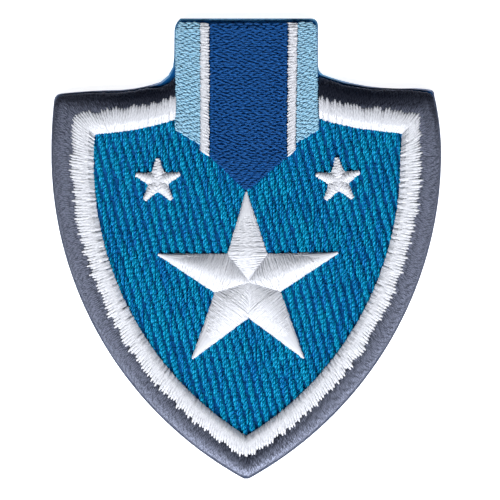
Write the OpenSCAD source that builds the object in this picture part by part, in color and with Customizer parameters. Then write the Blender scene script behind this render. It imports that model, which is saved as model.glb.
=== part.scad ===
// Embroidered shield patch with a short ribbon tab at the top.
// It lies flat on its back face. X runs across, Y runs up the shield, Z is the thickness.
// The origin is the middle of the patch on its back face. All sizes are in millimetres.

/* [Patch] */
// Width across the shield at its widest place
patch_w = 48.6; // [44:0.1:56]
// Height from the point of the shield to the top of the ribbon tab
patch_h = 57.4; // [52:0.1:66]
// Thickness of the ground cloth with the stitching's underside in it
cloth_t = 1.0; // [0.8:0.05:1.6]

/* [Stitching] */
// Height of the outer satin border above the cloth
outer_border_h = 0.75; // [0.4:0.05:1.2]
// Height of the inner satin border above the cloth
inner_border_h = 0.85; // [0.4:0.05:1.2]
// Height of the ribbon's pale sides and filled centre above the cloth
ribbon_h = 0.45; // [0.3:0.05:0.8]
// Height of the ribbon's narrow satin lines above the cloth
line_h = 0.6; // [0.3:0.05:0.9]
// Height of the large star's arms above the cloth
star_h = 0.8; // [0.4:0.05:1.2]
// Height of the small stars above the cloth
small_star_h = 0.55; // [0.3:0.05:0.9]
// Height of every satin column along its two edges
edge_h = 0.2; // [0.1:0.05:0.25]

/* [Fit] */
// Clear gap between two pieces that lie side by side or on each other
gap = 0.04; // [0.02:0.01:0.1]

/* [Hidden] */
// Size of the patch that the tables below are drawn for
drawn_w = 48.6;
drawn_h = 57.4;
// Distance between two stations along a curved edge
station = 1.2;
// Fewest stations on a stretch, so that a tight corner still turns smoothly
fewest_steps = 3;
// Flats across the crown of a satin column
crown_steps = 6;
// Roundness of the crown: 2 is an ellipse, and a higher power is flatter on top
satin_crown = 2;
fill_crown = 5;
// How far the stitches of a star arm rise for each millimetre of their length
arm_rise = 0.45;
// Half the width of a star arm at its tip and at the middle of the star
arm_end = 0.12;
// Gap between two neighbouring star arms, across the seam, and how far each stops before the middle
seam = 0.12;
core_gap = 0.3;

// Edge of the ground cloth, down the left side, round the point and up the right side.
// Columns: x, y, radius of the arc to the next row. 0 is a straight line and a minus sign is a hollow arc.
cloth_edge = [
    [-8.2, 28.7, 2.0],
    [-8.95, 27.3, 0],
    [-9.0, 23.9, -3.2],
    [-10.7, 20.8, -18],
    [-15.7, 19.8, 80],
    [-23.1, 19.35, 0.9],
    [-23.95, 18.5, 55],
    [-24.3, 12.0, 46.2],
    [-0.75, -28.42, 1.15],
    [0.75, -28.42, 46.2],
    [24.3, 12.0, 32],
    [23.45, 19.1, 0.6],
    [22.85, 19.85, 12],
    [20.4, 20.0, -28],
    [9.6, 21.7, -1.2],
    [8.95, 22.7, 0],
    [8.95, 27.9, 0.8],
    [8.15, 28.7, 0],
];

// Outer edge of the outer border, from the ribbon's left side round the point to its right side.
// The three tables of the borders have the same rows, and the stitches run from row to row.
// Columns: x, y, radius of the arc to the next row
outer_rail = [
    [-8.9, 21.3, -3.6],
    [-12.4, 19.95, -18],
    [-16.0, 19.4, 80],
    [-22.6, 19.0, 1.2],
    [-23.7, 17.9, 55],
    [-24.1, 12.0, 46.0],
    [-0.65, -28.1, 1.2],
    [0.65, -28.1, 46.0],
    [24.1, 12.0, 32],
    [23.3, 18.1, 1.2],
    [22.3, 19.4, 40],
    [16.0, 19.75, -28],
    [12.4, 20.3, -28],
    [9.15, 21.35, 0],
];

// Seam line between the outer and the inner border
middle_rail = [
    [-8.9, 19.0, -20],
    [-11.9, 18.05, -20],
    [-15.2, 17.5, 0],
    [-20.9, 16.75, 0.6],
    [-21.4, 16.3, 60],
    [-21.75, 12.0, 43],
    [-0.1, -25.85, 0.2],
    [0.1, -25.85, 43],
    [21.75, 12.0, 60],
    [21.45, 16.2, 0.6],
    [21.0, 16.8, 0],
    [15.3, 17.55, -20],
    [12.0, 18.05, -20],
    [9.15, 18.85, 0],
];

// Inner edge of the inner border, where the bare cloth begins
inner_rail = [
    [-8.9, 16.25, -25],
    [-12.2, 15.35, -25],
    [-15.5, 14.75, 0],
    [-18.85, 14.4, 0.4],
    [-19.05, 14.1, 60],
    [-19.15, 11.5, 40.2],
    [-0.1, -23.4, 0.2],
    [0.1, -23.4, 40.3],
    [19.35, 11.5, 60],
    [19.55, 14.1, 0.4],
    [19.35, 14.5, 0],
    [15.5, 14.95, -25],
    [12.3, 15.5, -25],
    [9.15, 16.35, 0],
];

// Ribbon stripes. Columns: x at the top, x and y at the lower end, first of the left edge, then of the right
ribbon_top = 28.2;
side_left = [-8.6, -8.85, 15.0, -5.7, -5.7, 13.1];
line_left = [-5.65, -5.65, 12.3, -4.65, -4.65, 11.5];
line_right = [5.3, 5.15, 11.55, 6.35, 6.15, 12.45];
side_right = [6.4, 6.2, 13.35, 8.7, 9.1, 15.0];
// Centre of the ribbon: the same three columns for each edge, down to where its point starts, and its point
centre_left = [-4.6, -4.6, 11.5];
centre_right = [5.25, 5.1, 11.5];
centre_point = [0.05, 7.25];
// Half the width of the ribbon's blunt point
point_half = 0.2;

// Large star. Columns: x and y of an arm's tip, x and y of the notch after it, going round clockwise
star_middle = [0.3, -4.1];
star_rows = [
    [0.0, 7.1, 2.6, -0.65],
    [11.45, -0.5, 4.25, -5.35],
    [7.15, -13.65, 0.3, -8.6],
    [-6.7, -13.7, -3.9, -5.5],
    [-11.0, -0.7, -2.3, -0.65],
];

// Small stars: middle, turn in degrees, radius to a tip and radius to a notch
small_left = [-11.05, 8.45];
small_left_turn = 0.5;
small_right = [11.5, 8.55];
small_right_turn = 3;
small_tip_r = 2.85;
small_notch_r = 1.4;

// A drawn point at the chosen size of the patch
function sized(p) = [p.x * patch_w / drawn_w, p.y * patch_h / drawn_h];

// Points from p up to, but not with, q on an arc of radius r that bows to the right of the way
function arc_points(p, q, r, steps) = r == 0
    ? [for (i = [0:steps - 1]) p + (q - p) * i / steps]
    : let (
        along = (q - p) / norm(q - p),
        out = [along.y, -along.x] * sign(r),
        half = asin(norm(q - p) / 2 / abs(r)),
        middle = (p + q) / 2 - out * abs(r) * cos(half)
    )
    [for (i = [0:steps - 1])
        let (a = half * (2 * i / steps - 1))
        middle + abs(r) * (out * cos(a) + along * sin(a))];

// Number of stations on the stretch after row k of a table
function steps_after(rows, k) =
    let (reach = norm([rows[k + 1].x - rows[k].x, rows[k + 1].y - rows[k].y]))
    max(fewest_steps, ceil(reach / station));

// All the points of a table's line, with the number of stations taken from the rows of another table
function line_points(rows, guide) = concat(
    [for (k = [0:len(rows) - 2])
        each arc_points(
            [rows[k].x, rows[k].y],
            [rows[k + 1].x, rows[k + 1].y],
            rows[k].z,
            steps_after(guide, k)
        )],
    [[rows[len(rows) - 1].x, rows[len(rows) - 1].y]]
);

// Height of a satin crown at t, which runs from -1 at one edge to 1 at the other
function crown(t, h, power) = edge_h + (h - edge_h) * pow(1 - pow(abs(t), power), 1 / power);

// One cross-section from edge point a to edge point b: two corners below and the crown above
function section(a, b, h, power, base) =
    let (
        in = (b - a) / norm(b - a) * gap / 2,
        from = a + in,
        to = b - in
    )
    concat(
        [[from.x, from.y, base], [to.x, to.y, base]],
        [for (j = [0:crown_steps])
            let (
                t = cos(180 * j / crown_steps),
                p = from + (to - from) * (1 + t) / 2
            )
            [p.x, p.y, base + crown(t, h, power)]]
    );

// Solid satin column between two edges that have a point for each station
module satin(edge_a, edge_b, heights, power) {
    base = cloth_t + gap;
    ring = crown_steps + 3;
    last = len(edge_a) - 1;
    points = [for (i = [0:last]) each section(edge_a[i], edge_b[i], heights[i], power, base)];
    walls = [for (i = [0:last - 1], j = [0:ring - 1])
        let (
            a = i * ring + j,
            b = i * ring + (j + 1) % ring
        )
        each [[a, a + ring, b + ring], [a, b + ring, b]]];
    first_cap = [for (j = [0:ring - 1]) j];
    last_cap = [for (j = [ring - 1:-1:0]) last * ring + j];
    polyhedron(points, concat(walls, [first_cap, last_cap]));
}

// The same height at every station of an edge
function even(edge, h) = [for (p = edge) h];

// Satin column between two border tables
module border(rail_a, rail_b, h) {
    edge_a = [for (p = line_points(rail_a, outer_rail)) sized(p)];
    edge_b = [for (p = line_points(rail_b, outer_rail)) sized(p)];
    satin(edge_a, edge_b, even(edge_a, h), satin_crown);
}

// Straight stripe of the ribbon with a slanted lower end
module stripe(row, h, power) {
    edge_a = [sized([row[0], ribbon_top]), sized([row[1], row[2]])];
    edge_b = [sized([row[3], ribbon_top]), sized([row[4], row[5]])];
    satin(edge_a, edge_b, even(edge_a, h), power);
}

module ground_cloth() {
    closed = concat(cloth_edge, [cloth_edge[0]]);
    outline = [for (p = line_points(closed, closed)) sized(p)];
    last = len(outline) - 1;
    color("#0b5f97")
        linear_extrude(cloth_t)
            polygon([for (i = [0:last - 1]) outline[i]]);
}

module outer_border() {
    color("#646878") border(outer_rail, middle_rail, outer_border_h);
}

module inner_border() {
    color("#ecedf2") border(middle_rail, inner_rail, inner_border_h);
}

module ribbon_side_left() {
    color("#8cb6d0") stripe(side_left, ribbon_h, fill_crown);
}

module ribbon_side_right() {
    color("#8cb6d0") stripe(side_right, ribbon_h, fill_crown);
}

module ribbon_line_left() {
    color("#ecedf2") stripe(line_left, line_h, satin_crown);
}

module ribbon_line_right() {
    color("#ecedf2") stripe(line_right, line_h, satin_crown);
}

module ribbon_centre() {
    left = [
        [centre_left[0], ribbon_top],
        [centre_left[1], centre_left[2]],
        [centre_point.x - point_half, centre_point.y],
    ];
    right = [
        [centre_right[0], ribbon_top],
        [centre_right[1], centre_right[2]],
        [centre_point.x + point_half, centre_point.y],
    ];
    edge_a = [for (p = left) sized(p)];
    edge_b = [for (p = right) sized(p)];
    color("#1a4785") satin(edge_a, edge_b, even(edge_a, ribbon_h), fill_crown);
}

// Arm i of the large star: a kite of stitches across the line from its tip to the star's middle
module star_arm(i) {
    row = star_rows[i - 1];
    tip = [row[0], row[1]];
    after = [row[2], row[3]];
    before = [star_rows[(i + 3) % 5][2], star_rows[(i + 3) % 5][3]];
    inward = (star_middle - tip) / norm(star_middle - tip);
    side = [-inward.y, inward.x];
    pull = side * seam / 2;
    core = star_middle - inward * core_gap;
    rail_a = concat(
        arc_points(tip + side * arm_end, after - pull, 0, 6),
        arc_points(after - pull, core + side * arm_end, 0, 4),
        [core + side * arm_end]
    );
    rail_b = concat(
        arc_points(tip - side * arm_end, before + pull, 0, 6),
        arc_points(before + pull, core - side * arm_end, 0, 4),
        [core - side * arm_end]
    );
    edge_a = [for (p = rail_b) sized(p)];
    edge_b = [for (p = rail_a) sized(p)];
    heights = [for (k = [0:len(edge_a) - 1]) min(star_h, edge_h + arm_rise * norm(edge_a[k] - edge_b[k]))];
    color("#ecedf2") satin(edge_a, edge_b, heights, satin_crown);
}

// Small star with a ridge along each arm and a valley to each notch
module small_star(middle, turn) {
    base = cloth_t + gap;
    ring = [for (k = [0:9])
        let (
            r = k % 2 == 0 ? small_tip_r : small_notch_r,
            a = 90 + turn - 36 * k
        )
        sized(middle + r * [cos(a), sin(a)])];
    centre = sized(middle);
    points = concat(
        [for (p = ring) [p.x, p.y, base]],
        [for (p = ring) [p.x, p.y, base + edge_h]],
        [[centre.x, centre.y, base + small_star_h]]
    );
    sides = [for (k = [0:9]) [k, (k + 1) % 10, 10 + (k + 1) % 10, 10 + k]];
    roof = [for (k = [0:9]) [10 + k, 10 + (k + 1) % 10, 20]];
    floor_face = [for (k = [9:-1:0]) k];
    color("#ecedf2") polyhedron(points, concat(sides, roof, [floor_face]));
}

module small_star_left() {
    small_star(small_left, small_left_turn);
}

module small_star_right() {
    small_star(small_right, small_right_turn);
}

ground_cloth();
outer_border();
inner_border();
ribbon_side_left();
ribbon_line_left();
ribbon_centre();
ribbon_line_right();
ribbon_side_right();
for (i = [1:5]) star_arm(i);
small_star_left();
small_star_right();
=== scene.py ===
# %% [markdown]
# # An embroidered shield patch
# A patch is a piece of twill cloth with thread sewn over it by a machine. What the eye sees is almost
# only thread, so this scene builds the thread: every stitch is a small mesh of its own, laid where the
# machine would lay it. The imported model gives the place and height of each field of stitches. Its smooth
# solids stand for the same fields, and here they become the padding that the stitches lie on. A bump on
# the smooth solids would be quicker, but its edges would stay straight and its shadows would be missing.

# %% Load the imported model
import math

import bmesh
import bpy
import numpy as np
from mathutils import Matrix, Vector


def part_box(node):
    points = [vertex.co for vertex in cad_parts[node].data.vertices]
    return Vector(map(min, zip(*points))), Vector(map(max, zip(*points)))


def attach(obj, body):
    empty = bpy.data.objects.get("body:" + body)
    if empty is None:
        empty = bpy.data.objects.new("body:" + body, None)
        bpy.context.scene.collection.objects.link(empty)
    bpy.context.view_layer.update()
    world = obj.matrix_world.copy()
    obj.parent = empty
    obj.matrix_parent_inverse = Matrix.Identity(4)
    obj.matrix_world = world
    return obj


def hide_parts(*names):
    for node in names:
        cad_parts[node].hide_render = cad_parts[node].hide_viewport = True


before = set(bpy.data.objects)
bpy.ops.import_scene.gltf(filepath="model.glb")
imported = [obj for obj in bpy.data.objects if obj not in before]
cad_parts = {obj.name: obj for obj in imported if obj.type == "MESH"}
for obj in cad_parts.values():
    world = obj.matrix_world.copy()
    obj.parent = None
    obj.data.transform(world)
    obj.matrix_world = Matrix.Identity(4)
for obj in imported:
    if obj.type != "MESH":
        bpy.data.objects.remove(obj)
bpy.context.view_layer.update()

MM = 0.001


# %% [markdown]
# ## Camera
# The picture was taken on a flat scanner, so it looks straight down with no perspective to speak of. An
# orthographic camera could do that too. A long lens far away is nearly as flat, and its distance follows
# from the width of the view by one short rule. The view is 62.5 mm wide, which is eight pixels for each
# millimetre, and it is centred a little beside the patch's own middle.

# %% Put the camera over the patch
VIEW_W = 62.5
VIEW_MIDDLE = (0.469, -0.156)
LENS = 800.0
SENSOR = 36.0
STITCH_LEVEL = 1.3
NEAREST = 0.01
camera_data = bpy.data.cameras.new("camera")
camera_data.lens = LENS
camera_data.sensor_width = SENSOR
camera_data.clip_start = NEAREST
camera = bpy.data.objects.new("camera", camera_data)
bpy.context.collection.objects.link(camera)
camera_up = VIEW_W * LENS / SENSOR
camera.location = (VIEW_MIDDLE[0] * MM, VIEW_MIDDLE[1] * MM, (STITCH_LEVEL + camera_up) * MM)
bpy.context.scene.camera = camera
print("camera stands", round(camera_up, 1), "mm over the stitches")


# %% [markdown]
# ## Tools for nodes
# A material is a Principled shader with a few nodes in front of it, and the sky is made of nodes as well.
# They could be placed by hand in the shader editor. The materials here share most of their parts, so each
# part is a helper that adds a node and gives back what the next one needs.

# %% Helpers that add nodes
def add_node(owner, kind, settings=None, **inputs):
    """A node of that kind with its settings, and with its inputs set to values or joined to sockets.
    An input is called by its name, or by its number after an underscore."""
    node = owner.node_tree.nodes.new(kind)
    for name, value in (settings or {}).items():
        setattr(node, name, value)
    for name, value in inputs.items():
        socket = node.inputs[int(name[1:])] if name[0] == "_" else node.inputs[name]
        if isinstance(value, bpy.types.NodeSocket):
            owner.node_tree.links.new(value, socket)
        else:
            socket.default_value = value
    return node


def join(owner, output, node, name):
    """Joins an output to an input of a node."""
    owner.node_tree.links.new(output, node.inputs[name])


def remap(owner, value, source, target=(0.0, 1.0)):
    """A value whose range, the source, is stretched to the target and cut off at both ends."""
    limits = dict(zip(("From Min", "From Max", "To Min", "To Max"), (*source, *target)))
    return add_node(owner, "ShaderNodeMapRange", Value=value, **limits).outputs[0]


def calculate(owner, operation, *values):
    """The result of a Math node on numbers or sockets."""
    inputs = {f"_{number}": value for number, value in enumerate(values)}
    return add_node(owner, "ShaderNodeMath", {"operation": operation}, **inputs).outputs[0]


def add_noise(owner, place, scale, detail):
    """A soft noise from 0 to 1."""
    return add_node(owner, "ShaderNodeTexNoise", Vector=place, Scale=scale, Detail=detail).outputs["Fac"]


def mix_colours(owner, share, dark, light):
    """A colour between dark and light, each of them three numbers or a socket."""
    dark, light = (c if isinstance(c, bpy.types.NodeSocket) else (*c, 1) for c in (dark, light))
    mix = add_node(owner, "ShaderNodeMix", {"data_type": "RGBA"}, _0=share, _6=dark, _7=light)
    return mix.outputs[2]


def add_bump(owner, height, strength, depth, **below):
    """A bump with a depth in millimetres. It lies on top of another one where that one's Normal is given."""
    bump = add_node(owner, "ShaderNodeBump", Height=height, Strength=strength, Distance=depth * MM, **below)
    return bump.outputs[0]


def object_place(owner):
    """The place on the piece, in metres."""
    return add_node(owner, "ShaderNodeTexCoord").outputs["Object"]


def start_material(name, roughness, specular, ior=1.5):
    """A new material. Gives back the material and its shader."""
    material = bpy.data.materials.new(name)
    material.use_nodes = True
    shader = material.node_tree.nodes["Principled BSDF"]
    shader.inputs["Roughness"].default_value = roughness
    shader.inputs["Specular IOR Level"].default_value = specular
    shader.inputs["IOR"].default_value = ior
    return material, shader


print("helpers for nodes are ready")


# %% [markdown]
# ## Light
# A scanner's lamp is a long tube that runs across the glass, here along X, and shines in at a slant from
# the patch's lower side. Threads that run along X always show it a bright line. Threads that run along Y
# catch it only where they dip towards it, which is why the grey border turns black on the shoulders. A
# sun lamp would be too hard and a plain sky too soft for this, so one long area light does it. A second
# one, weak and low on the far side, draws the far edges. A dim sky, brighter on the lamp's side, fills
# the shadows.

# %% Hang the two lamps
LAMP_AWAY = 0.42
# Columns: slant in degrees, 0 being straight above, then length and width in metres, and watts
LAMPS = {
    "lamp": (47, 1.40, 0.20, 6.85),
    "glow": (-80, 0.90, 0.08, 0.07),
}


def hang_lamp(name, slant, length, width, power):
    """A long lamp across the picture that shines at its middle. A slant above 0 is on the lower side."""
    data = bpy.data.lights.new(name, "AREA")
    data.shape = "RECTANGLE"
    data.size = length
    data.size_y = width
    data.energy = power
    lamp = bpy.data.objects.new(name, data)
    bpy.context.collection.objects.link(lamp)
    angle = math.radians(slant)
    lamp.location = (0, -LAMP_AWAY * math.sin(angle), LAMP_AWAY * math.cos(angle))
    lamp.rotation_euler = (angle, 0, 0)
    print(name, "of", power, "watts at", slant, "degrees")


for name, row in LAMPS.items():
    hang_lamp(name, *row)

# %% Light the sky
SKY_COLOUR = (0.9, 0.95, 1.0, 1)
SKY_RANGE = (-0.9, 0.5)
SKY_STRENGTH = (0.13, 0.0)
world = bpy.data.worlds.new("sky")
world.use_nodes = True
background = world.node_tree.nodes["Background"]
background.inputs["Color"].default_value = SKY_COLOUR
towards = add_node(world, "ShaderNodeTexCoord").outputs["Generated"]
across_sky = add_node(world, "ShaderNodeSeparateXYZ", Vector=towards).outputs["Y"]
join(world, remap(world, across_sky, SKY_RANGE, SKY_STRENGTH), background, "Strength")
bpy.context.scene.world = world
bpy.context.scene.view_settings.view_transform = "Standard"
print("sky strength from the lamp's side to the far side:", SKY_STRENGTH)


# %% [markdown]
# ## Thread
# Embroidery thread is two plies of shiny rayon or polyester, twisted together. Its colour hardly changes,
# but each stitch catches the light a little differently. An image of thread could be laid on the pieces,
# So the stitches carry a UV map with the distance along the thread in
# millimetres and the turn round it: a wave that climbs along both draws the plies, and a stretched noise
# draws the filaments. A number stored on each stitch, its lot, shifts the colour, as painted sheen for how
# each stitch catches the light. A stretched noise of strands paints glints into the colour too, lighter
# where it also raises the gloss. The gloss is anisotropic, spread across the thread, as it is on parallel
# fibres.

# %% Draw the plies
THREAD_MAP = "thread"
LOT = "lot"
PLY_PITCH = 0.62
PLIES = 2
WAVE_UNIT = 2 * math.pi / 10


def thread_place(material):
    """The place on the stitch: distance along it in millimetres, and turn round it."""
    return add_node(material, "ShaderNodeUVMap", {"uv_map": THREAD_MAP}).outputs["UV"]


def thread_lot(material):
    """The number from 0 to 1 that is stored on the stitch."""
    return add_node(material, "ShaderNodeAttribute", {"attribute_name": LOT}).outputs["Fac"]


def add_twist(material, place, pitch, plies, **phase):
    """Stripes that climb round the thread, 1 on top of a ply and 0 between two."""
    climb = add_node(
        material, "ShaderNodeMapping", Vector=place, Scale=(WAVE_UNIT / pitch, WAVE_UNIT * plies, 0)
    )
    wave = add_node(
        material, "ShaderNodeTexWave", {"bands_direction": "DIAGONAL"},
        Vector=climb.outputs[0], Scale=1.0, **phase,
    )
    return wave.outputs["Fac"]


print("a ply goes once round the thread in", PLIES * PLY_PITCH, "mm")

# %% Make the four colours of thread
FIBRE_SPREAD = 0.95
FIBRE_TURN = 0.25
# A noise is stretched along the thread: scale along it, scale round it, and scale of the whole
FILAMENTS = (0.9, 9.0, 2.5)
STRANDS = (2.2, 5.0, 1.6)
# A bump has a strength and a depth in millimetres
PLY_BUMP = (0.4, 0.03)
FILAMENT_BUMP = (0.6, 0.02)
# A range of the strands' noise is stretched to a share of the gloss, and another to the colour as a
# painted glint. The lot's share of the colour is painted sheen.
GLINT_RANGE = (0.35, 0.65)
GLINT = (0.35, 1.65)
PAINTED_GLINT_RANGE = (0.38, 0.62)
PAINTED_GLINT = (0.0, 0.85)
LOT_SHEEN_SHARE = 0.15
# Columns: dark and light colour, roughness, specular level, tint of the gloss, index of refraction
THREADS = {
    "grey_thread": ((0.003, 0.004, 0.009), (0.007, 0.009, 0.018), 0.57, 1.0, (0.67, 0.74, 1.0), 2.02),
    "white_thread": ((0.545, 0.565, 0.625), (0.783, 0.803, 0.873), 0.60, 0.74, (1.0, 1.0, 1.0), 1.5),
    "pale_blue_thread": ((0.21, 0.42, 0.57), (0.33, 0.59, 0.78), 0.55, 0.70, (0.95, 0.98, 1.0), 1.5),
    "royal_thread": ((0.003, 0.038, 0.165), (0.005, 0.082, 0.320), 0.55, 0.60, (0.3, 0.65, 1.0), 1.5),
}


def stretched_noise(material, place, stretch, detail):
    """A noise drawn out along the thread."""
    along_thread, round_thread, scale = stretch
    drawn = add_node(material, "ShaderNodeMapping", Vector=place, Scale=(along_thread, round_thread, 1.0))
    return add_noise(material, drawn.outputs[0], scale, detail)


def thread_material(name, dark, light, roughness, specular, tint, ior):
    """Lustrous twisted thread whose stitches vary from a dark to a light colour."""
    material, shader = start_material(name, roughness, specular, ior)
    shader.inputs["Specular Tint"].default_value = (*tint, 1)
    shader.inputs["Anisotropic"].default_value = FIBRE_SPREAD
    shader.inputs["Anisotropic Rotation"].default_value = FIBRE_TURN
    way = add_node(material, "ShaderNodeTangent", {"direction_type": "UV_MAP", "uv_map": THREAD_MAP})
    join(material, way.outputs[0], shader, "Tangent")
    place = thread_place(material)
    plies = add_bump(material, add_twist(material, place, PLY_PITCH, PLIES), *PLY_BUMP)
    filaments = stretched_noise(material, place, FILAMENTS, detail=3.0)
    join(material, add_bump(material, filaments, *FILAMENT_BUMP, Normal=plies), shader, "Normal")
    strands = stretched_noise(material, place, STRANDS, detail=1.0)
    glint = remap(material, strands, GLINT_RANGE, [share * specular for share in GLINT])
    join(material, glint, shader, "Specular IOR Level")
    # The strands' noise lightens the colour where it raises the gloss, as a painted glint. The lot adds
    # painted sheen for each stitch.
    painted_glint = remap(material, strands, PAINTED_GLINT_RANGE, PAINTED_GLINT)
    shade = calculate(material, "MULTIPLY_ADD", thread_lot(material), LOT_SHEEN_SHARE, painted_glint)
    join(material, mix_colours(material, shade, dark, light), shader, "Base Color")
    return material


threads = {name: thread_material(name, *looks) for name, looks in THREADS.items()}
print("colours of thread:", ", ".join(threads))


# %% [markdown]
# ## One stitch
# On the real patch a stitch comes up out of one needle hole and goes down into the next. It could be a
# curve with a bevel, but thousands of curves are slow. It is modelled once, as a straight six-sided
# thread, one unit long and one unit thick: a cylinder whose long edges are subdivided and whose two ends
# are drawn in, as the needle hole draws them in. Every stitch of the patch is a copy of it, given its own
# length, height and bend. Six sides and nine lengths are enough, because a thread is only two pixels wide.

# %% Model the stitch
SIDES = 6
CUTS = 8
END_SHARES = (0.15, 0.42, 0.78)
ON_RING = 0.001


def deselect():
    """Leaves nothing selected, so that the next operator acts on its own object alone."""
    bpy.ops.object.select_all(action="DESELECT")


def pick_out(*objects):
    """Selects these objects alone and makes the last one active."""
    deselect()
    for obj in objects:
        obj.select_set(True)
    bpy.context.view_layer.objects.active = objects[-1]


def select_in_edit_mode(obj, kind, wanted):
    """Selects the vertices, edges or faces for which wanted is true. The object is in edit mode."""
    bpy.ops.mesh.select_all(action="DESELECT")
    bpy.ops.mesh.select_mode(type=kind)
    mesh = bmesh.from_edit_mesh(obj.data)
    for item in {"VERT": mesh.verts, "EDGE": mesh.edges, "FACE": mesh.faces}[kind]:
        if wanted(item):
            item.select_set(True)
    bmesh.update_edit_mesh(obj.data)


def model_stitch():
    """The straight stitch from x = 0 to x = 1."""
    deselect()
    bpy.ops.mesh.primitive_cylinder_add(
        vertices=SIDES, radius=0.5, depth=1, location=(0.5, 0, 0), rotation=(0, math.pi / 2, 0)
    )
    stitch = bpy.context.object
    bpy.ops.object.transform_apply(location=True, rotation=True, scale=True)
    bpy.ops.object.mode_set(mode="EDIT")
    select_in_edit_mode(stitch, "EDGE", lambda e: abs(e.verts[0].co.x - e.verts[1].co.x) > 0.5)
    bpy.ops.mesh.subdivide(number_cuts=CUTS)
    for ring, share in enumerate(END_SHARES):
        inward = ring / (CUTS + 1)
        select_in_edit_mode(stitch, "VERT", lambda v: abs(min(v.co.x, 1 - v.co.x) - inward) < ON_RING)
        bpy.ops.transform.resize(value=(1, share, share))
    bpy.ops.object.mode_set(mode="OBJECT")
    return stitch


stitch = model_stitch()
stitch_points = np.array([v.co[:] for v in stitch.data.vertices])
stitch_faces = [list(p.vertices) for p in stitch.data.polygons]
bpy.data.objects.remove(stitch)
print("the stitch has", len(stitch_points), "points and", len(stitch_faces), "faces")


# %% [markdown]
# ## Laying stitches
# A path gives the needle holes in order, and one stitch runs from each hole to the next. In between it
# rises over the padding in a crown, whose height is a share (1 - t^p)^q of the most, where t is 0 at the
# crest and 1 at a hole. A high p makes it flat on top, as a tight fill, and a low q makes it leave the
# hole steeply, as a satin stitch does over soft padding. Objects on a curve could do this with a modifier
# each. Here the points of all copies are worked out together as arrays, which is quick, and joined into
# one mesh for each field.

# %% Find the place of each ring of a stitch
# Millimetres from the hole to each of the three rings next to it, and the most that this may be as a
# share of the stitch's length. The rings between them lie at fixed shares.
FROM_HOLE = (0.0, 0.08, 0.23)
MOST_SHARE = (0.0, 0.05, 0.14)
MIDDLE_SHARES = (0.27, 0.42)


def ring_places(lengths, taper):
    """Share of each stitch's length at which each point of the copy lies. The rings next to a hole keep
    their distance from it in millimetres, so that long stitches don't taper over a long stretch. The
    taper stretches that distance, first at the start and then at the end."""
    x = stitch_points[:, 0]
    ring = np.round(np.minimum(x, 1 - x) * (CUTS + 1)).astype(int)
    middle = np.tile(MIDDLE_SHARES, (len(lengths), 1))
    from_start, from_end = (
        np.concatenate([np.minimum(np.outer(side / lengths, FROM_HOLE), MOST_SHARE), middle], axis=1)
        for side in taper
    )
    return np.where(x < 0.5, from_start[:, ring], 1 - from_end[:, ring])


print("rings of a stitch of 1 mm:", np.unique(ring_places(np.array([1.0]), (1.0, 1.0)).round(2)))

# %% Bend the copies
THREAD_W = 0.28
THREAD_T = 0.05
# A thread's way is taken between two points, this share of its length before and after the place
STEP = 0.01


def path_point(start, end, top, power, ends, far_ends, crest, bow, sway, s):
    """Point at share s of each stitch's length. It is highest at the crest, and bows and sways sideways."""
    t = np.clip(np.where(s < crest, 1 - s / crest, (s - crest) / (1 - crest)), 0, 1)
    crown = (1 - t**power) ** np.where(s < crest, ends, far_ends)
    point = start[:, None] + (end - start)[:, None] * s[..., None]
    point[..., 2] += (top[:, None] - point[..., 2]) * crown
    way = (end - start)[:, :2]
    way = way / np.linalg.norm(way, axis=1)[:, None]
    side = np.stack([-way[:, 1], way[:, 0]], axis=1)
    aside = bow[:, None] * 4 * s * (1 - s) + sway[:, None] * np.sin(2 * np.pi * s)
    point[..., :2] += side[:, None] * aside[..., None]
    return point


def rolled(side, centre, way, parts):
    """The side direction of each thread, rolled to follow the surface that its part forms. A part is a
    count of stitches that lie side by side."""
    split = np.split(centre, np.cumsum(parts)[:-1])
    beside = np.concatenate([np.gradient(part, axis=0) for part in split])
    beside -= way * (beside * way).sum(axis=2)[..., None]
    beside *= np.sign((beside * side).sum(axis=2))[..., None]
    return beside / np.linalg.norm(beside, axis=2)[..., None]


def lay(
    start, end, top, power=2.3, ends=0.43, far_ends=None, crest=0.5, bow=0.0, sway=0.0, taper=(1.0, 1.0),
    width=THREAD_W, thick=THREAD_T, parts=(),
):
    """Points of one copy of the stitch for each row of start and end, in millimetres. power and ends are
    the p and q of the crown, and far_ends is its q beyond the crest. Threads roll where parts are given."""
    count = len(start)
    if far_ends is None:
        far_ends = ends
    top, power, ends, far_ends, crest, bow, sway, width, thick = (
        np.broadcast_to(np.asarray(x, float), count).copy()
        for x in (top, power, ends, far_ends, crest, bow, sway, width, thick)
    )
    s = ring_places(np.linalg.norm(end - start, axis=1), taper)
    shape = (start, end, top, power[:, None], ends[:, None], far_ends[:, None], crest[:, None], bow, sway)
    centre = path_point(*shape, s)
    before = path_point(*shape, np.clip(s - STEP, 0, 1))
    after = path_point(*shape, np.clip(s + STEP, 0, 1))
    way = (after - before) / np.linalg.norm(after - before, axis=2)[..., None]
    flat = (end - start)[:, None] * [1, 1, 0]
    side = np.cross([0, 0, 1], flat / np.linalg.norm(flat, axis=2)[..., None])
    if len(parts):
        side = rolled(side, centre, way, parts)
    up = np.cross(way, side)
    across = stitch_points[:, 1] * width[:, None]
    raised = stitch_points[:, 2] * thick[:, None]
    return centre + side * across[..., None] + up * raised[..., None]


print("a thread is", THREAD_W, "mm wide and", THREAD_T, "mm thick, unless a field says otherwise")

# %% Join the copies into a field
def stitch_map():
    """Distance along the stitch and turn round it, from 0 to 1, for each corner of its faces."""
    corners = []
    for face in stitch_faces:
        turns = [math.atan2(stitch_points[v][2], stitch_points[v][1]) / (2 * math.pi) % 1 for v in face]
        if max(turns) - min(turns) > 0.5:
            turns = [turn + 1 if turn < 0.5 else turn for turn in turns]
        corners += [(stitch_points[v][0], turn) for v, turn in zip(face, turns)]
    return np.array(corners)


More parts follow.
